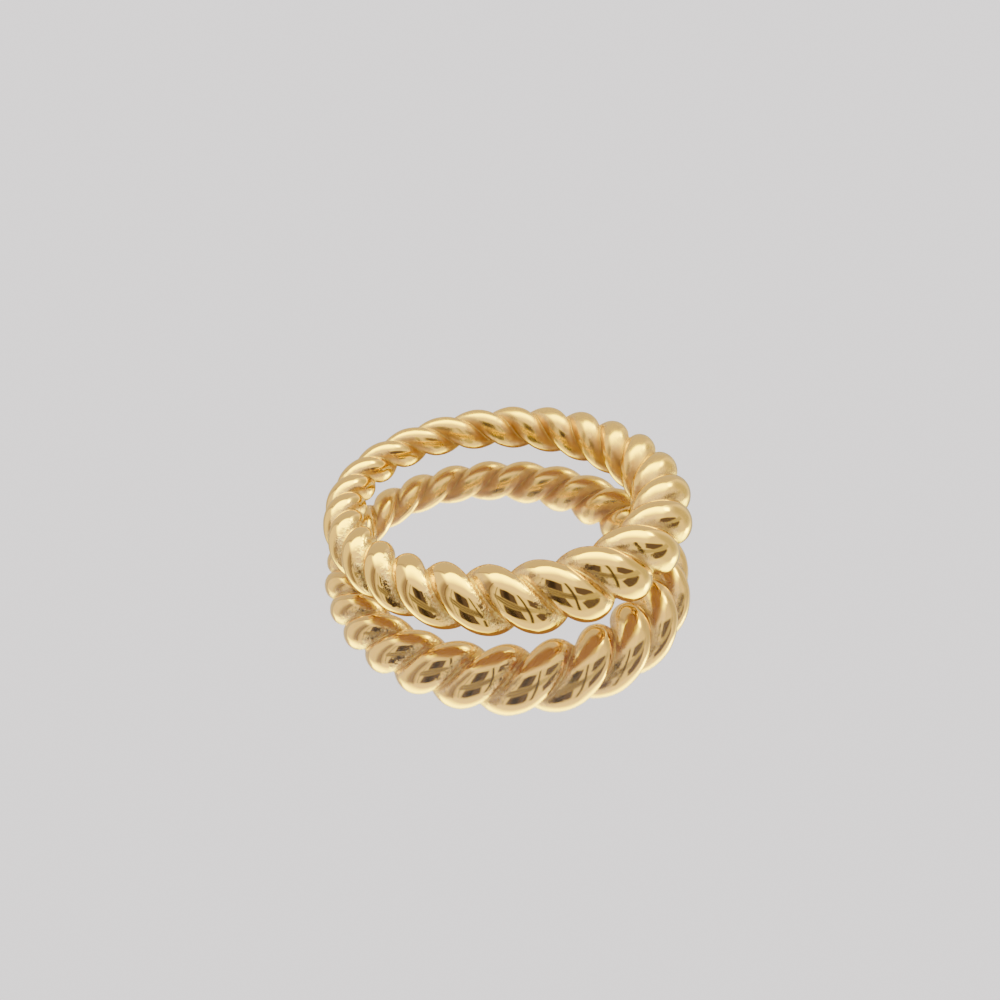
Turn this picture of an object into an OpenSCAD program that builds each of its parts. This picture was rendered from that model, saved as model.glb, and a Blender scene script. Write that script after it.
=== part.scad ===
// Rope twist ring, cast in one piece.
// Two fat strands are twisted right-handed and closed into a ring, thick at the front and thin
// at the back. Its inner crests are polished flat to a round finger opening.
// The ring lies on its side, as left on a table: front to -Y, lowest rib at height 0.

/* [Finger opening] */
// Diameter of the round opening that the finger goes through, in millimetres
opening_d = 17.35; // [14:0.05:23]
// Depth that polishing the opening takes off the inner crests
inner_polish = 0.08; // [0:0.01:0.2]

/* [Band] */
// Width of the rope from its inner to its outer crests at the front, before the polish
front_w = 4.56; // [3.2:0.02:6]
// The same width at the back
back_w = 2.36; // [1.6:0.02:3.2]
// Height of the rope's section as a share of its width
height_share = 1.1; // [0.9:0.01:1.3]

/* [Twist] */
// Ribs counted once round the ring, two of them to a full turn of the two strands
rib_count = 24; // [18:2:30]
// Depth of the grooves as a share of half the rope's width
groove_share = 0.39; // [0.1:0.01:0.5]
// Fullness of a rib from groove to groove, where 1 is a full half circle
rib_fullness = 0.95; // [0.6:0.01:0.98]
// Degrees by which the ribs open out from an even spacing toward the front
spread_angle = 5.8; // [0:0.1:8]
// Degrees by which they open out a second time, at the front and at the back
double_spread_angle = 2.4; // [0:0.1:3]
// Degrees by which half a ring of ribs runs ahead at the back
lead_angle = 0.7; // [-2:0.1:2]
// Place of the front between two crests on the outer side of the rope, as a share of a rib
front_share = 0.6; // [0:0.05:1]

/* [Hidden] */

// Points along the ring from one groove to the next, and points round the rope's section
rib_point_count = 10;
section_point_count = 24;

// Radius to the inner crests as cast, before the opening is polished
crest_r = opening_d / 2 - inner_polish;
// Slope of the ring's middle plane when its thick front and thin back both touch the table
rest_tilt = atan((front_w - back_w) / 2 * height_share / (2 * crest_r + (front_w + back_w) / 2));
// Columns of points once round the ring, and those that one turn of the section moves along
columns = rib_count * rib_point_count;
turn_columns = 2 * rib_point_count;

// Half the rope's width at an angle round the ring, where 0 is the front
function half_width(angle) = (front_w + back_w) / 4 + (front_w - back_w) / 4 * cos(angle);

// Angle round the ring of a place that is counted in ribs
function ring_angle(place) =
    let (even = 360 * (place - front_share) / rib_count)
    even + spread_angle * sin(even) + double_spread_angle * sin(2 * even)
        + lead_angle * (1 - cos(even));

// Depth across one rib, 0 on the crest and 1 in the groove, along an arc of a circle
function rib_arc(strand) =
    let (off = 2 * rib_fullness * (strand - round(strand)))
    (1 - sqrt(1 - off * off)) / (1 - sqrt(1 - rib_fullness * rib_fullness));

// A point of the rope's skin. strand counts ribs across the strands and stays the same along
// a crest or a groove. turn is the angle round the section, 0 outward and 90 up.
function skin_point(strand, turn) =
    let (
        angle = ring_angle(strand - turn / 180),
        half = half_width(angle),
        reach = half * (1 - groove_share * rib_arc(strand)),
        radius = max(opening_d / 2, crest_r + half + reach * cos(turn))
    )
    [radius * sin(angle), -radius * cos(angle), reach * height_share * sin(turn)];

// A point turned about X to lean the ring the way it rests
function leaned(p) = [
    p[0],
    p[1] * cos(rest_tilt) + p[2] * sin(rest_tilt),
    p[2] * cos(rest_tilt) - p[1] * sin(rest_tilt)
];

// Number of a point in the list. A full turn of the section ends on the column two ribs back.
function point_number(column, row) =
    row == section_point_count
        ? point_number(column - turn_columns, 0)
        : (column + columns) % columns * section_point_count + row;

skin = [
    for (column = [0 : columns - 1])
        for (row = [0 : section_point_count - 1])
            leaned(skin_point(column / rib_point_count, 360 * row / section_point_count))
];
low = [for (axis = [0 : 2]) min([for (p = skin) p[axis]])];
high = [for (axis = [0 : 2]) max([for (p = skin) p[axis]])];
// The middle of the outline goes to the origin and the lowest rib to height 0
foot = [(low[0] + high[0]) / 2, (low[1] + high[1]) / 2, low[2]];

// The cast rope as one closed skin, with the lines of its mesh along the strands
module rope_band() {
    color([0.83, 0.65, 0.36])
    polyhedron(
        points = [for (p = skin) p - foot],
        faces = [
            for (column = [0 : columns - 1])
                for (row = [0 : section_point_count - 1])
                    let (
                        here = point_number(column, row),
                        next = point_number(column + 1, row),
                        up = point_number(column, row + 1),
                        both = point_number(column + 1, row + 1)
                    )
                    each [[here, up, next], [next, up, both]]
        ],
        convexity = 12
    );
}

rope_band();
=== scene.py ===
# %% [markdown]
# The rope twist ring is one casting. Two fat strands are twisted into a rope and closed into
# a ring that is thick at the front and thin at the back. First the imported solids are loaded.
# They fix the size and the place of everything that is modelled here, so the box round them
# is measured before anything is added.

# %% Load the frame and measure its box
import math

import bmesh
import bpy
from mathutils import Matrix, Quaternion, Vector


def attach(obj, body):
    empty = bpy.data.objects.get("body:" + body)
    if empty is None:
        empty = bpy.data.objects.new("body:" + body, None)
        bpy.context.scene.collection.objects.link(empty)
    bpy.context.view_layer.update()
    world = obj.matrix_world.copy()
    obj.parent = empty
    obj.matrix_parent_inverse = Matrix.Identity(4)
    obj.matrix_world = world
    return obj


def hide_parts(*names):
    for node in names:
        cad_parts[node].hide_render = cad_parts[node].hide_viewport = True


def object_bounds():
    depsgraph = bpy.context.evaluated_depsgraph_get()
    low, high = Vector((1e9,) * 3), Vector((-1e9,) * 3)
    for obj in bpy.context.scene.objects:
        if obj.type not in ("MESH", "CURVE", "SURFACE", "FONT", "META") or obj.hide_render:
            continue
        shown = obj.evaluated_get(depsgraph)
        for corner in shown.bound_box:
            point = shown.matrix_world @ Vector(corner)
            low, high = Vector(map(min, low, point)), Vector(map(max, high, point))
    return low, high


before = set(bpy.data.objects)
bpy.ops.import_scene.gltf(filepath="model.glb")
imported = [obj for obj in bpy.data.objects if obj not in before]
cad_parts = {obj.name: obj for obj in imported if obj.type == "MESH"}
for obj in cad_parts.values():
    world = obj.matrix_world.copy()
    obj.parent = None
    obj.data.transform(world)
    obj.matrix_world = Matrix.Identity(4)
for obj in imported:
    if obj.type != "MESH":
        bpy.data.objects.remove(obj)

MM = 0.001
cad_low, cad_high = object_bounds()
print("CAD box in mm:", [round(v / MM, 3) for v in (*cad_low, *cad_high)])

# %% [markdown]
# These are the sizes that a goldsmith would note on the pattern: the opening for the finger,
# the width of the rope at its front and its back, the number of ribs and how deep the grooves
# between them are cut. The opening and the outside are those of the solids. The solids have
# wider flats on their inner crests. Here the wheel only kisses the crests, so that they still
# look round, and the rope is narrower by the 0.06 mm that isn't ground away.
#
# A fullness of 1 would make each rib a full half circle. The two spreads say how far the ribs
# open out toward the front, the lead how far they run ahead at the back, and the front share
# where the front lies between two crests.

# %% Sizes of the ring
OPENING_R = 17.35 / 2 * MM
POLISH = 0.02 * MM
FRONT_W = 4.50 * MM
BACK_W = 2.30 * MM
HEIGHT_SHARE = 1.115
RIBS = 24
GROOVE_SHARE = 0.42
RIB_FULLNESS = 0.95
SPREAD = math.radians(5.8)
DOUBLE_SPREAD = math.radians(2.4)
LEAD = math.radians(0.7)
FRONT_SHARE = 0.6
CREST_R = OPENING_R - POLISH
LEAN = math.atan((FRONT_W - BACK_W) / 2 * HEIGHT_SHARE / (2 * CREST_R + (FRONT_W + BACK_W) / 2))
print("lean of the resting ring in degrees:", round(math.degrees(LEAN), 2))

# %% [markdown]
# Two rules place everything along the ring. The rope gets thinner from front to back as a
# cosine does, so that there is no sudden step. The ribs are counted round the ring, and they
# open out a little toward the front, where the rope is fat.

# %% Width and place along the ring
MEAN_HALF = (FRONT_W + BACK_W) / 4
HALF_CHANGE = (FRONT_W - BACK_W) / 4


def half_width(angle):
    """Half the rope's width at an angle round the ring, 0 at the front."""
    return MEAN_HALF + HALF_CHANGE * math.cos(angle)


def ring_angle(ribs_along):
    """Angle round the ring of a place that is counted in ribs."""
    even = 2 * math.pi * (ribs_along - FRONT_SHARE) / RIBS
    return (even + SPREAD * math.sin(even) + DOUBLE_SPREAD * math.sin(2 * even)
            + LEAD * (1 - math.cos(even)))


print("rope width at the side in mm:", round(2 * half_width(math.pi / 2) / MM, 2))

# %% [markdown]
# A cut through the rope shows the two strands as an outline with two lobes and two creases.
# The outline is drawn as a closed line of points, one unit in radius, and serves as the
# profile that a path carries round the ring. A crease in cast gold is never quite sharp, so
# the deepest points are eased into a small fillet, which also fills the crease a little.

# %% Draw the two-lobed outline
OUTLINE_POINTS = 88
CREASE_EASE = 0.07
CREASE_FILL = CREASE_EASE * 0.4


def rib_arc(strand):
    """Depth across a rib, 0 on its crest and 1 in the crease, along an arc of a circle."""
    off = 2 * abs(strand - round(strand))
    off = 1 + CREASE_FILL - math.hypot(1 - off, CREASE_EASE)
    full = 1 - math.sqrt(1 - RIB_FULLNESS ** 2)
    return (1 - math.sqrt(1 - (RIB_FULLNESS * max(0.0, off)) ** 2)) / full


def closed_line(name, corners):
    """A closed line through a list of points, as a curve object."""
    data = bpy.data.curves.new(name, "CURVE")
    data.dimensions = "3D"
    line = data.splines.new("POLY")
    line.points.add(len(corners) - 1)
    for line_point, corner in zip(line.points, corners):
        line_point.co = (*corner, 1)
    line.use_cyclic_u = True
    thing = bpy.data.objects.new(name, data)
    bpy.context.collection.objects.link(thing)
    return thing


outline = []
for number in range(OUTLINE_POINTS):
    turn = 2 * math.pi * number / OUTLINE_POINTS
    reach = 1 - GROOVE_SHARE * rib_arc(turn / math.pi)
    outline.append((reach * math.cos(turn), reach * math.sin(turn), 0))
section = closed_line("rope_section", outline)
print("outline reach, crest and crease:", round(outline[0][0], 3),
      round(math.hypot(*outline[OUTLINE_POINTS // 4][:2]), 3))

# %% [markdown]
# The path runs once round the ring through the middle of the rope. At each of its points the
# radius sets how fat the rope is there and the tilt turns the outline, half a turn for each
# rib. Over the whole ring that is 24 half turns, so the strands meet themselves again. Two bars
# could also be twisted and bent round by modifiers, but then all ribs would be alike, while a
# path gives each rib its own place and width.

# %% Lay the path
STEPS_PER_RIB = 44
path_points = []
for number in range(RIBS * STEPS_PER_RIB):
    angle = ring_angle(number / STEPS_PER_RIB)
    middle = CREST_R + half_width(angle)
    path_points.append((middle * math.sin(angle), -middle * math.cos(angle), 0))
rope = closed_line("rope_band_gold", path_points)
for number, path_point in enumerate(rope.data.splines[0].points):
    path_point.radius = half_width(ring_angle(number / STEPS_PER_RIB))
    path_point.tilt = math.pi * number / STEPS_PER_RIB
rope.data.twist_mode = "Z_UP"
rope.data.bevel_mode = "OBJECT"
rope.data.bevel_object = section
print("the path has", len(path_points), "points")

# %% [markdown]
# Converting the curve gives one closed mesh, and the outline has done its work. The strands are
# a little higher than they are wide, so the mesh is stretched upward by that share. Applying the
# scale at once keeps the object itself unscaled, as every finished piece has to be.

# %% Carry the outline round the path


def only(thing):
    """Selects one object and makes it the active one."""
    bpy.ops.object.select_all(action="DESELECT")
    thing.select_set(True)
    bpy.context.view_layer.objects.active = thing


only(rope)
bpy.ops.object.convert(target="MESH")
rope = bpy.context.object
bpy.data.objects.remove(section)
rope.scale = (1, 1, HEIGHT_SHARE)
bpy.ops.object.transform_apply(location=False, rotation=False, scale=True)
print("rope mesh:", len(rope.data.vertices), "points,", 2 * len(rope.data.polygons), "triangles")

# %% [markdown]
# The finish differs between crest and crease, because a polishing wheel can't reach down
# between the strands. One flank of each rib faces the wheel and the other lies in its lee, where
# more of the casting's rough skin is left. The inside of the ring is reached least of all. A few
# ribs left of the front kept most of their skin, and the right side and the back are brushed
# rather than polished.
#
# The mesh remembers this as four attributes, which the material reads later: how far a point
# is from its crest, the same with the lee flank counted as farther, how far the point faces the
# finger, and how near it is to the roughest rib. A point's place in ribs is that of its ring
# angle, moved along by its angle round the section. The zones could be painted by hand as well,
# but a rule made of the rope's own angles follows the strands exactly.

# %% Note where the wheel got to
ROUGHEST_RIB = -3
LEE_SHIFT = 0.3
notes = {"crease": [], "lee": [], "inside": [], "near_roughest": []}
for number, point in enumerate(rope.data.vertices):
    ribs_along = number // OUTLINE_POINTS / STEPS_PER_RIB
    width = half_width(ring_angle(ribs_along))
    outward = (math.hypot(point.co.x, point.co.y) - CREST_R) / width - 1
    upward = point.co.z / HEIGHT_SHARE / width
    strand = ribs_along + math.atan2(upward, outward) / math.pi
    off_crest = 2 * (strand - round(strand))
    notes["crease"].append(abs(off_crest))
    notes["lee"].append(abs(off_crest) + LEE_SHIFT * (off_crest > 0))
    notes["inside"].append(max(0.0, -outward))
    away = 2 * math.pi * (strand - ROUGHEST_RIB) / RIBS
    notes["near_roughest"].append((1 + math.cos(away)) / 2)
for name, values in notes.items():
    rope.data.attributes.new(name, "FLOAT", "POINT").data.foreach_set("value", values)
    print(name, "runs from", round(min(values), 2), "to", round(max(values), 2))

# %% [markdown]
# A hand-finished casting is never perfectly even. A cloud pattern moves the skin in and out by
# a few hundredths of a millimetre, which is what makes reflections waver on the real ring.
# Sculpting would do it too, but a pattern gives the same skin each time.

# %% Make the skin waver
WAVER = 0.045 * MM
WAVER_SIZE = 1.6 * MM
clouds = bpy.data.textures.new("casting_waver", "CLOUDS")
clouds.noise_scale = WAVER_SIZE
clouds.noise_depth = 1
waver = rope.modifiers.new("waver", "DISPLACE")
waver.texture = clouds
waver.texture_coords = "LOCAL"
waver.mid_level = 0.5
waver.strength = WAVER
bpy.ops.object.modifier_apply(modifier="waver")
print("the skin wavers by up to", round(WAVER / 2 / MM, 4), "mm")

# %% [markdown]
# The inside is polished round, so that the ring slides over a finger. A drum of the opening's
# size stands in the ring, and every point inside it is pushed out onto the drum. That leaves
# narrow polished flats on the inner crests. A boolean cut would leave the same flats, but it
# would break up the even rows of the mesh.

# %% Polish the opening
DRUM_SIDES = 512
bpy.ops.mesh.primitive_cylinder_add(vertices=DRUM_SIDES, radius=OPENING_R, depth=4 * FRONT_W)
drum = bpy.context.object
polish = rope.modifiers.new("polish", "SHRINKWRAP")
polish.target = drum
polish.wrap_method = "NEAREST_SURFACEPOINT"
polish.wrap_mode = "OUTSIDE"
only(rope)
bpy.ops.object.modifier_apply(modifier="polish")
bpy.data.objects.remove(drum)
print("opening in mm:", round(2 * min(math.hypot(*p.co[:2]) for p in rope.data.vertices) / MM, 3))

# %% [markdown]
# An outline that is carried round a path makes a skin, but it doesn't say which side of the skin
# is the outside. Metal looks nearly the same from both, so a picture hardly shows a mistake. The
# volume does, because a shell that is inside out has a volume below zero. All faces are turned
# outward, and the volume of the metal is measured before and after as the test.

# %% Turn the faces outward


def metal_volume(thing):
    """Volume inside a closed mesh in cubic millimetres, below zero if it is inside out."""
    shell = bmesh.new()
    shell.from_mesh(thing.data)
    volume = shell.calc_volume(signed=True) / MM ** 3
    shell.free()
    return volume


print("volume as carried in cubic mm:", round(metal_volume(rope), 1))
only(rope)
bpy.ops.object.mode_set(mode="EDIT")
bpy.ops.mesh.select_all(action="SELECT")
bpy.ops.mesh.normals_make_consistent(inside=False)
bpy.ops.object.mode_set(mode="OBJECT")
print("volume with the faces outward:", round(metal_volume(rope), 1))

# %% [markdown]
# The thick front and the thin back both touch the table, so the ring's middle plane leans a
# little. The rope is turned by that lean, and then set in the middle of the solids' box.

# %% Lean the ring and set it down
rope.rotation_euler = (-LEAN, 0, 0)
bpy.ops.object.transform_apply(location=False, rotation=True, scale=False)
bpy.context.view_layer.update()
corners = [Vector(c) for c in rope.bound_box]
rope_low = Vector([min(c[axis] for c in corners) for axis in range(3)])
rope_high = Vector([max(c[axis] for c in corners) for axis in range(3)])
rope.location = ((cad_low + cad_high) - (rope_low + rope_high)) / 2
rope.location.z = cad_low.z - rope_low.z
bpy.ops.object.transform_apply(location=True, rotation=False, scale=False)
bpy.ops.object.shade_smooth()
print("rope box against CAD box in mm:",
      [round(v / MM, 3) for v in (rope_high - rope_low) - (cad_high - cad_low)])

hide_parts("rope_band")
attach(rope, "root")

# %% [markdown]
# The ring is yellow gold, and one metal shader makes all of its finishes. With a material for
# each finish, a hard seam would show where they meet. A material is a tree of nodes, so a few
# short helpers come first. Each adds a node or two to the tree that is being worked on, and
# returns the socket with its result.

# %% Start the gold and its helpers
gold = bpy.data.materials.new("polished_gold")
gold.use_nodes = True
nodes, links = gold.node_tree.nodes, gold.node_tree.links
metal = nodes["Principled BSDF"]
metal.inputs["Metallic"].default_value = 1
surface = nodes.new("ShaderNodeTexCoord")


def noise(size_mm, detail, label):
    """A noise pattern between 0 and 1 whose blotches are about size_mm across."""
    node = nodes.new("ShaderNodeTexNoise")
    node.label = label
    node.inputs["Scale"].default_value = 1 / (size_mm * MM)
    node.inputs["Detail"].default_value = detail
    links.new(surface.outputs["Object"], node.inputs["Vector"])
    return node.outputs["Fac"]


def attribute(name):
    """A value that each point of the mesh remembers."""
    node = nodes.new("ShaderNodeAttribute")
    node.attribute_name = name
    return node.outputs["Fac"]


def ramp(value, low, high, at_low, at_high):
    """A smooth change from one number to another while value goes from low to high."""
    node = nodes.new("ShaderNodeMapRange")
    node.interpolation_type = "SMOOTHSTEP"
    links.new(value, node.inputs["Value"])
    node.inputs["From Min"].default_value = low
    node.inputs["From Max"].default_value = high
    node.inputs["To Min"].default_value = at_low
    node.inputs["To Max"].default_value = at_high
    return node.outputs["Result"]


def reckon(kind, first, second=0):
    """A math node of one kind on one or two values, each of which may be a plain number."""
    node = nodes.new("ShaderNodeMath")
    node.operation = kind
    for socket, value in zip(node.inputs, (first, second)):
        if isinstance(value, (int, float)):
            socket.default_value = value
        else:
            links.new(value, socket)
    return node.outputs["Value"]


def blend(share, first, second):
    """A mix of two colours, each of which may be a plain red, green and blue."""
    node = nodes.new("ShaderNodeMix")
    node.data_type = "RGBA"
    links.new(share, node.inputs["Factor"])
    for name, colour in (("A", first), ("B", second)):
        if isinstance(colour, tuple):
            node.inputs[name].default_value = (*colour, 1)
        else:
            links.new(colour, node.inputs[name])
    return node.outputs["Result"]


print("started", gold.name)

# %% [markdown]
# The wheel reaches the crests and leaves them like a mirror, but it misses the grooves and the
# deep line along each crease. On the inside of the ring the grooves start sooner. The attributes
# say where each of these zones begins. A little noise frays the edges of the wide ones, because
# a zone that ends along a ruled line looks painted on. A noise rarely leaves the span from
# NOISE_LOW to NOISE_HIGH, so those two are taken as its ends.

# %% Find the grooves, the lee flanks and the creases
NOISE_LOW, NOISE_HIGH = 0.3, 0.7
FRAY = 0.13
FRAY_SIZE = 0.5
INSIDE_SHARE = 0.32
GROOVE_START, GROOVE_FULL = 0.58, 0.94
FLANK_START, FLANK_FULL = 0.86, 1.14
LINE_START, LINE_FULL = 0.86, 0.97
fray = ramp(noise(FRAY_SIZE, 3, "fray"), NOISE_LOW, NOISE_HIGH, -FRAY, FRAY)
deep = reckon("ADD", attribute("crease"), reckon("MULTIPLY", attribute("inside"), INSIDE_SHARE))
groove = ramp(reckon("ADD", deep, fray), GROOVE_START, GROOVE_FULL, 0, 1)
flank = ramp(reckon("ADD", attribute("lee"), fray), FLANK_START, FLANK_FULL, 0, 1)
crease_line = ramp(attribute("crease"), LINE_START, LINE_FULL, 0, 1)
print("a groove starts to turn dull at", GROOVE_START, "of the way from crest to crease")

# %% [markdown]
# The crests are yellow. The grooves are a duller and slightly pinker gold, partly from their rough
# skin and partly as painted shade for light that bounces from gold to gold down there. On the
# inside of the ring, where gold faces gold across the whole opening, painted shade makes them
# deeper still, and so is the line along a crease.

# %% Colour of the gold and its painted shade
CREST_GOLD = (1.0, 0.75, 0.37)
# The groove colour is partly the skin's own gold and partly painted shade; the inner and crease
# colours are painted shade.
GROOVE_GOLD_AND_SHADE = (0.81, 0.60, 0.45)
INNER_PAINTED_SHADE = (0.60, 0.375, 0.28)
CREASE_PAINTED_SHADE = (0.62, 0.44, 0.36)
INSIDE_START, INSIDE_FULL = 0.15, 0.75
faces_finger = ramp(attribute("inside"), INSIDE_START, INSIDE_FULL, 0, 1)
colour = blend(groove, CREST_GOLD, GROOVE_GOLD_AND_SHADE)
# Painted shade on the grooves that face the finger.
colour = blend(reckon("MULTIPLY", groove, faces_finger), colour, INNER_PAINTED_SHADE)
# Painted shade along the line of each crease.
colour = blend(crease_line, colour, CREASE_PAINTED_SHADE)
print("the crests reflect", CREST_GOLD, "of red, green and blue light")

# %% [markdown]
# Roughness runs from a mirror on the front crests to a soft shine in the grooves. Faint smears
# show where the wheel lingered. The farther a rib is from the roughest one, the more it gets the
# blurred shine of brushed gold.

# %% Polish of the gold
FRONT_ROUGH, BACK_ROUGH = 0.05, 0.21
BRUSHED_UNTIL, POLISHED_FROM = 0.1, 0.6
SMEAR_SIZE = 1.4
SMEAR_ROUGH = 0.04
GROOVE_ROUGH = 0.22
LINE_ROUGH = 0.20
near_roughest = attribute("near_roughest")
smears = ramp(noise(SMEAR_SIZE, 2, "smears"), NOISE_LOW, NOISE_HIGH, 0, SMEAR_ROUGH)
brushed = ramp(near_roughest, BRUSHED_UNTIL, POLISHED_FROM, BACK_ROUGH, FRONT_ROUGH)
in_groove = reckon("MULTIPLY", groove, GROOVE_ROUGH)
in_line = reckon("MULTIPLY", crease_line, LINE_ROUGH)
wheel_marks = reckon("ADD", smears, brushed)
links.new(reckon("ADD", wheel_marks, reckon("ADD", in_groove, in_line)), metal.inputs["Roughness"])
roughest = BACK_ROUGH + SMEAR_ROUGH + GROOVE_ROUGH + LINE_ROUGH
print("roughness runs from", FRONT_ROUGH, "to", round(roughest, 2))

# %% [markdown]
# The rough skin of the casting is crumbly, with grains of a few tenths of a millimetre. It is
# too fine for the mesh, so it is left to the shader as bump. Small crumbs and larger lumps are
# added up and shown where the wheel left skin: on the lee flanks of the roughest ribs, and as
# faint pits in all the grooves, more of them at the front than at the back.

# %% Crumbs of casting skin
CRUMB_SIZE, LUMP_SIZE, LUMP_SHARE = 0.19, 0.42, 0.35
CRUMB_HEIGHT = 0.028 * MM
CRUMBLY_START, CRUMBLY_FULL = 0.83, 0.91
LEAST_CRUMBLY, MOST_CRUMBLY = 0.05, 1.0
PITTED_START, PITTED_FULL = 0.25, 0.80
LEAST_PITTED, MOST_PITTED = 0.12, 0.45
skin_left = ramp(near_roughest, CRUMBLY_START, CRUMBLY_FULL, LEAST_CRUMBLY, MOST_CRUMBLY)
pits_left = ramp(near_roughest, PITTED_START, PITTED_FULL, LEAST_PITTED, MOST_PITTED)
crumbly = reckon("MULTIPLY", flank, skin_left)
pitted = reckon("MULTIPLY", groove, pits_left)
crumbs = noise(CRUMB_SIZE, 1, "crumbs")
lumps = reckon("MULTIPLY", noise(LUMP_SIZE, 1, "lumps"), LUMP_SHARE)
grain = nodes.new("ShaderNodeBump")
grain.inputs["Strength"].default_value = 1
grain.inputs["Distance"].default_value = CRUMB_HEIGHT
relief = reckon("MULTIPLY", reckon("ADD", crumbs, lumps), reckon("ADD", crumbly, pitted))
links.new(relief, grain.inputs["Height"])
print("crumbs are about", CRUMB_SIZE, "mm across and", CRUMB_HEIGHT / MM, "mm high")

# %% [markdown]
# A crumb catches light on its top and is darker in the pit beside it. At the size of a picture
# the bump alone can't show that, so the same noise that makes the crumbs also paints that light
# and shade into their colour: a painted highlight on top and painted shade below.

# %% Paint highlights and shade on the crumbs
# Painted shade for the pits and a painted highlight for the tops of the crumbs.
PIT_PAINTED_SHADE = (0.78, 0.57, 0.37)
GRAIN_PAINTED_HIGHLIGHT = (1.0, 0.88, 0.64)
PAINTED_LIGHT_SHARE = 0.6
PIT_BELOW, TOP_ABOVE = 0.40, 0.60
# Painted highlight and painted shade, following the crumbs' noise.
specks = blend(ramp(crumbs, PIT_BELOW, TOP_ABOVE, 0, 1), PIT_PAINTED_SHADE, GRAIN_PAINTED_HIGHLIGHT)
painted_light_mask = reckon("MULTIPLY", reckon("MAXIMUM", crumbly, pitted), PAINTED_LIGHT_SHARE)
links.new(blend(painted_light_mask, colour, specks), metal.inputs["Base Color"])
print("crumbs take", PAINTED_LIGHT_SHARE, "of their colour from the specks")

# %% [markdown]
# Polishing by hand leaves ripples of a few thousandths of a millimetre in the metal. They show
# only in the reflections, which they bend a little. Their bump sits on top of the crumbs' bump.

# %% Ripples left by polishing
RIPPLE_SIZE = 0.6
RIPPLE_HEIGHT = 0.002 * MM
ripples = nodes.new("ShaderNodeBump")
ripples.inputs["Strength"].default_value = 1
ripples.inputs["Distance"].default_value = RIPPLE_HEIGHT
links.new(noise(RIPPLE_SIZE, 1, "ripples"), ripples.inputs["Height"])
links.new(grain.outputs["Normal"], ripples.inputs["Normal"])
links.new(ripples.outputs["Normal"], metal.inputs["Normal"])
rope.data.materials.clear()
rope.data.materials.append(gold)
print("gold has", len(nodes), "nodes")

# %% [markdown]
# The ring lies on a pale sheet of mirror glass. Such a mirror reflects at its back, a little
# below the surface that the ring stands on, so a thin gap shows between the ring and its
# mirror image. The top of the glass is a plane at the ring's foot. It is nearly clear, and its
# few hundredths of pale haze make the mirror image a little paler than the ring. The haze is
# hidden from what the gold mirrors, where it would hardly show.

# %% Lay the glass
GLASS_DEPTH = 0.76 * MM
SHEET_SIZE = 8
HAZE_SHARE = 0.045
HAZE_TONE = (0.93, 0.925, 0.915, 1)
bpy.ops.mesh.primitive_plane_add(size=SHEET_SIZE, location=(0, 0, cad_low.z))
floor = bpy.context.object
floor.name = "floor"
pale = bpy.data.materials.new("pale_glass")
pale.use_nodes = True
haze = pale.node_tree.nodes["Principled BSDF"]
haze.inputs["Base Color"].default_value = HAZE_TONE
haze.inputs["Roughness"].default_value = 1
haze.inputs["Specular IOR Level"].default_value = 0
haze.inputs["Alpha"].default_value = HAZE_SHARE
floor.data.materials.append(pale)
floor.visible_glossy = False
print("the glass is", SHEET_SIZE, "m wide and its silver lies", GLASS_DEPTH / MM, "mm down")

# %% [markdown]
# The silver is a second plane at the back of the glass, and a clear mirror. What the camera
# sees in it passes through the glass on its way, which makes it a little warmer and dimmer.
# Diffuse and shadow rays pass the silver by, because it has no part in how the haze is lit.

# %% Silver the back of the glass
SEEN_SILVER = (0.97, 0.94, 0.91)
OTHER_SILVER = (0.95, 0.95, 0.95)
bpy.ops.mesh.primitive_plane_add(size=SHEET_SIZE, location=(0, 0, cad_low.z - GLASS_DEPTH))
silver_sheet = bpy.context.object
silver_sheet.name = "silver_sheet"
silver_sheet.visible_diffuse = False
silver_sheet.visible_shadow = False
silver = bpy.data.materials.new("silver_back")
silver.use_nodes = True
silver_sheet.data.materials.append(silver)
nodes, links = silver.node_tree.nodes, silver.node_tree.links
mirror = nodes["Principled BSDF"]
mirror.inputs["Metallic"].default_value = 1
mirror.inputs["Roughness"].default_value = 0
rays = nodes.new("ShaderNodeLightPath")
seen = rays.outputs["Is Camera Ray"]
links.new(blend(seen, OTHER_SILVER, SEEN_SILVER), mirror.inputs["Base Color"])
print("the silver returns", SEEN_SILVER, "of the light to the camera")

# %% [markdown]
# Glass and silver are never perfectly flat, so the mirror image is a little softer than the ring
# itself, and the softer the higher a point lies above the sheet. A rough mirror would blur too,
# but then the sheet could no longer be told from the gold when its own sky is set further down.
# So a noise far finer than a pixel tips the silver by a fraction of a degree, and each ray finds
# it tipped in another direction.

# %% Soften the mirror image
TIP = 0.009
DUST_SIZE = 0.01 * MM


def shift(kind, first, second):
    """A vector math node of one kind on a vector and a plain one."""
    node = nodes.new("ShaderNodeVectorMath")
    node.operation = kind
    links.new(first, node.inputs[0])
    node.inputs[1].default_value = second
    return node.outputs["Vector"]


spot = nodes.new("ShaderNodeTexCoord")
dust = nodes.new("ShaderNodeTexWhiteNoise")
finest = shift("DIVIDE", spot.outputs["Object"], (DUST_SIZE, DUST_SIZE, DUST_SIZE))
links.new(finest, dust.inputs["Vector"])
centred = shift("SUBTRACT", dust.outputs["Color"], (0.5, 0.5, 0.5))
sideways_tip = shift("MULTIPLY", centred, (TIP, TIP, 0))
links.new(shift("ADD", sideways_tip, (0, 0, 1)), mirror.inputs["Normal"])
most_tip = math.degrees(math.hypot(TIP, TIP) / 2)
print("the silver tips by up to", round(most_tip, 2), "degrees")
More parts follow.
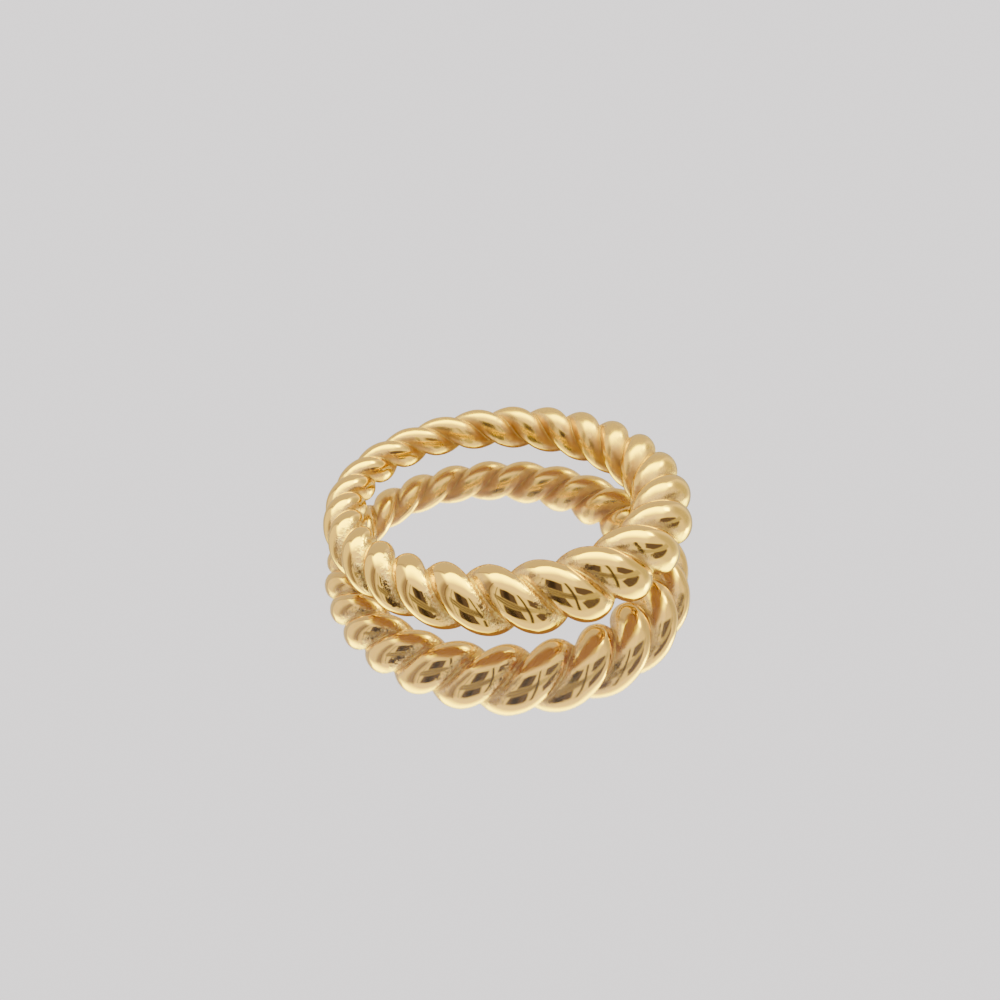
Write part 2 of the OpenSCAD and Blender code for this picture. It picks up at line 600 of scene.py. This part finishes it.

# %% [markdown]
# Under the belly of the ring hardly any light gets in, and the gold there looks a warm brown.
# The tent's cards hang too far away to leave that place dark, and mirroring alone comes out too
# pale, so the brown is painted shade, set on the silver itself. It shows only to rays that come
# steeply down from the gold, and only where the belly stands over the silver. The belly is taken
# as a round band that gets thinner from front to back. The painted shade is a glow, so that
# nothing else changes its tone, and it is kept out of the search for lamps.

# %% Paint shade on the silver under the ring
BELLY_R = CREST_R + MEAN_HALF
BELLY_PAINTED_SHADE = (0.35, 0.20, 0.10, 1)
BELLY_EDGE, BELLY_CORE = 1.05, 0.60
SLANTING, STEEP = 0.40, 0.12
BROWN_SHARE = 0.9
from_middle = shift("SUBTRACT", spot.outputs["Object"], (0, HALF_CHANGE, 0))
distance = nodes.new("ShaderNodeVectorMath")
distance.operation = "LENGTH"
links.new(from_middle, distance.inputs[0])
split = nodes.new("ShaderNodeSeparateXYZ")
links.new(from_middle, split.inputs["Vector"])
beside = reckon("ABSOLUTE", reckon("SUBTRACT", distance.outputs["Value"], BELLY_R))
thinning = reckon("MULTIPLY", split.outputs["Y"], HALF_CHANGE / BELLY_R)
half_belly = reckon("SUBTRACT", MEAN_HALF, thinning)
below = ramp(reckon("DIVIDE", beside, half_belly), BELLY_EDGE, BELLY_CORE, 0, 1)
slant = nodes.new("ShaderNodeLayerWeight")
steep = ramp(slant.outputs["Facing"], SLANTING, STEEP, 0, BROWN_SHARE)
from_gold = reckon("SUBTRACT", 1, seen)
# A brown glow on the silver, as painted shade under the ring.
brown = nodes.new("ShaderNodeEmission")
brown.inputs["Color"].default_value = BELLY_PAINTED_SHADE
silver.cycles.emission_sampling = "NONE"
shaded = nodes.new("ShaderNodeMixShader")
links.new(reckon("MULTIPLY", reckon("MULTIPLY", steep, below), from_gold), shaded.inputs["Fac"])
links.new(mirror.outputs["BSDF"], shaded.inputs[1])
links.new(brown.outputs["Emission"], shaded.inputs[2])
links.new(shaded.outputs["Shader"], nodes["Material Output"].inputs["Surface"])
print("the belly's middle runs on a circle of radius", round(BELLY_R / MM, 2), "mm")

# %% [markdown]
# Polished metal shows nothing but what stands round it, so jewellery is photographed in a tent
# of white cloth. Walls made of planes would stand in the way when the ring is looked at from
# another side, so the tent is drawn in the world's light. Each wall, and the dark opening that
# the camera looks through, is a soft-edged card in one direction. A node group works out where
# a card is seen from the ring, and each card is one copy of it. A card is cut off just before a
# right angle to its middle, where the tangents that give its size would run away.

# %% Make the group for one card of the tent
card_group = bpy.data.node_groups.new("tent_card", "ShaderNodeTree")
for name in ("Ray", "Middle", "Across", "Upward"):
    card_group.interface.new_socket(name, in_out="INPUT", socket_type="NodeSocketVector")
for name in ("Half Width", "Half Height", "Edge"):
    card_group.interface.new_socket(name, in_out="INPUT", socket_type="NodeSocketFloat")
card_group.interface.new_socket("Mask", in_out="OUTPUT", socket_type="NodeSocketFloat")
nodes, links = card_group.nodes, card_group.links
asked = nodes.new("NodeGroupInput")
answer = nodes.new("NodeGroupOutput")
LEAST_AHEAD = 0.01


def along(axis):
    """How far the ray goes along one of the card's axes."""
    node = nodes.new("ShaderNodeVectorMath")
    node.operation = "DOT_PRODUCT"
    links.new(asked.outputs["Ray"], node.inputs[0])
    links.new(asked.outputs[axis], node.inputs[1])
    return node.outputs["Value"]


ahead = along("Middle")


def within(axis, half):
    """1 within the card along an axis and 0 beyond it, with a soft edge."""
    sideways = reckon("ABSOLUTE", reckon("DIVIDE", along(axis), ahead))
    spare = reckon("DIVIDE", reckon("SUBTRACT", asked.outputs[half], sideways), asked.outputs["Edge"])
    return ramp(spare, -1, 1, 0, 1)


card_mask = reckon("MULTIPLY", within("Across", "Half Width"), within("Upward", "Half Height"))
in_front = reckon("GREATER_THAN", ahead, LEAST_AHEAD)
links.new(reckon("MULTIPLY", card_mask, in_front), answer.inputs["Mask"])
print("a card takes", len(nodes), "nodes")

# %% [markdown]
# The list below is the tent, as a photographer would note it down. The cloth is cream where it
# is lit and tan or brown where it isn't. A softbox hangs high at the back, one window glares
# from the right, and the front wall has the opening for the camera, with a seam beside it and
# hems below. Cards further down the list hang in front of those above them.

# %% List the cards
CAMERA_AZIMUTH = -36.0
CAMERA_ELEVATION = 35.7
CLOTH = (1.06, "cream")
TINTS = {
    "glare": (1.0, 0.97, 0.13),
    "cream": (1.0, 0.868, 0.47),
    "tan": (1.0, 0.86, 0.55),
    "brown": (1.0, 0.80, 0.62),
    "shade": (1.0, 0.78, 0.70),
}
CARDS = (
    # name, azimuth from the camera, elevation, roll, half width and half height and soft edge
    # as tangents of their angles, light, tint
    ("canopy", -5, 70, 0, 1.20, 0.34, 0.22, 1.26, "cream"),
    ("softbox", 180, 70, 0, 0.95, 0.40, 0.35, 4.9, "glare"),
    ("back_wall", -170, 18, 0, 0.80, 0.84, 0.06, 0.72, "tan"),
    ("window", 120, 41, 0, 0.14, 0.10, 0.06, 8.0, "glare"),
    ("front_wall", -5, 30, 0, 1.35, 0.42, 0.10, 1.00, "cream"),
    ("front_skirt", -5, 4, 0, 1.30, 0.12, 0.10, 0.48, "tan"),
    ("right_wall", 122, 0, 0, 0.30, 0.50, 0.20, 0.66, "cream"),
    ("left_curtain", -76, 4, 0, 0.22, 0.75, 0.18, 0.40, "brown"),
    ("left_fold", -70, 4, 0, 0.022, 0.90, 0.02, 0.18, "brown"),
    ("left_edge", -51, 4, 0, 0.020, 0.80, 0.02, 0.24, "brown"),
    ("back_seam", -132, 10, 0, 0.020, 0.60, 0.03, 0.42, "brown"),
    ("right_curtain", 68, 14, -33, 0.44, 0.22, 0.05, 0.17, "shade"),
    ("right_sheet", 70, 3, 0, 0.70, 0.07, 0.04, 0.60, "cream"),
    ("front_hem", -12, 8, 0, 0.90, 0.022, 0.02, 0.20, "brown"),
    ("front_fold", -8, 3, -2, 0.80, 0.030, 0.02, 0.16, "brown"),
    ("seam", 27, 18, 0, 0.060, 0.55, 0.040, 0.12, "brown"),
    ("opening", -16, 28, 0, 0.38, 0.30, 0.05, 0.15, "shade"),
    ("opening_depth", -20, 30, 0, 0.13, 0.26, 0.07, 0.065, "shade"),
)
print("the tent has", len(CARDS), "cards")

# %% [markdown]
# Each card is a copy of the group with its own direction and size. Its mask lays the card's tone
# over the tones of the cards above it in the list. Nearly everything in the picture is a mirror,
# and mirrors find the world by themselves, so it isn't sampled as a lamp, which saves time.

# %% Hang the cards
world = bpy.data.worlds.new("light_tent")
bpy.context.scene.world = world
world.use_nodes = True
world.cycles.sampling_method = "NONE"
nodes, links = world.node_tree.nodes, world.node_tree.links
ray = nodes.new("ShaderNodeTexCoord").outputs["Generated"]


def direction(azimuth, elevation):
    """Unit vector to an azimuth and elevation in degrees, 0 at the front and 90 at the right."""
    around, above = math.radians(azimuth), math.radians(elevation)
    level_part = math.cos(above)
    return Vector((math.sin(around) * level_part, -math.cos(around) * level_part, math.sin(above)))


def glow(light, tint):
    """A light level in one of the cloth's tints."""
    return tuple(light * part for part in TINTS[tint])


tent = glow(*CLOTH)
for name, azimuth, elevation, roll, half_w, half_h, edge, light, tint in CARDS:
    middle = direction(azimuth + CAMERA_AZIMUTH, elevation)
    level = direction(azimuth + CAMERA_AZIMUTH + 90, 0)
    across = Quaternion(middle, math.radians(roll)) @ level
    card = nodes.new("ShaderNodeGroup")
    card.node_tree = card_group
    card.label = name
    links.new(ray, card.inputs["Ray"])
    card.inputs["Middle"].default_value = middle
    card.inputs["Across"].default_value = across
    card.inputs["Upward"].default_value = middle.cross(across)
    card.inputs["Half Width"].default_value = half_w
    card.inputs["Half Height"].default_value = half_h
    card.inputs["Edge"].default_value = edge
    tent = blend(card.outputs["Mask"], tent, glow(light, tint))
print("the cards face", round(CAMERA_AZIMUTH), "degrees from the ring's front, as the camera does")

# %% [markdown]
# The sheet of mirror glass would show the tent as well. A photographer hides that with plain
# paper, so the sheet's own view of the sky, straight off the camera, is one even pale tone.
# Its tint makes up for the silver's, so that the sheet looks a neutral pale grey from any side.
# Whatever the gold reflects, directly or by way of the sheet, is the tent. A ray that reaches
# the world after one bounce counts as depth 2.

# %% Keep the sheet plain
MIRRORED_PAPER = (1.140, 1.127, 1.169)
BACKDROP = (1.09, 1.09, 1.09)
ONE_BOUNCE = 2.5
rays = nodes.new("ShaderNodeLightPath")
one_bounce = reckon("LESS_THAN", rays.outputs["Ray Depth"], ONE_BOUNCE)
by_mirror = reckon("MULTIPLY", rays.outputs["Is Singular Ray"], one_bounce)
past_sheet = reckon("MAXIMUM", rays.outputs["Is Camera Ray"], rays.outputs["Is Diffuse Ray"])
shown = blend(by_mirror, tent, MIRRORED_PAPER)
shown = blend(past_sheet, shown, BACKDROP)
links.new(shown, nodes["Background"].inputs["Color"])
print("the world has", len(nodes), "nodes")

# %% [markdown]
# The camera looks down at about 36 degrees from the left of the ring's front, from 28 cm away.
# The lens is set from how many pixels a millimetre takes up in the picture, and a small shift
# brings the ring to its place in the frame. It aims at the middle of the finger opening, a
# little above the glass. A product photograph has a bit more contrast than Blender's standard
# tone curve, so the curve with a medium high contrast is chosen.

# %% Set up the camera
CAMERA_DISTANCE = 284 * MM
PIXELS_PER_MM = 15.28
MIDDLE_PIXEL = (498.2, 508.6)
SIDE_PIXELS = 1000
SENSOR = 36
AIM = Vector((-0.01027, 1.08706, 1.8)) * MM
NEAREST = 10 * MM
toward_camera = direction(CAMERA_AZIMUTH, CAMERA_ELEVATION)
camera_data = bpy.data.cameras.new("camera")
camera = bpy.data.objects.new("camera", camera_data)
bpy.context.scene.collection.objects.link(camera)
bpy.context.scene.camera = camera
camera.location = AIM + toward_camera * CAMERA_DISTANCE
camera.rotation_euler = toward_camera.to_track_quat("Z", "Y").to_euler()
camera_data.sensor_width = SENSOR
camera_data.lens = SENSOR * CAMERA_DISTANCE / (SIDE_PIXELS / PIXELS_PER_MM * MM)
camera_data.shift_x = (SIDE_PIXELS / 2 - MIDDLE_PIXEL[0]) / SIDE_PIXELS
camera_data.shift_y = (MIDDLE_PIXEL[1] - SIDE_PIXELS / 2) / SIDE_PIXELS
camera_data.clip_start = NEAREST
bpy.context.scene.view_settings.look = "AgX - Medium High Contrast"
print("lens in mm:", round(camera_data.lens, 1))
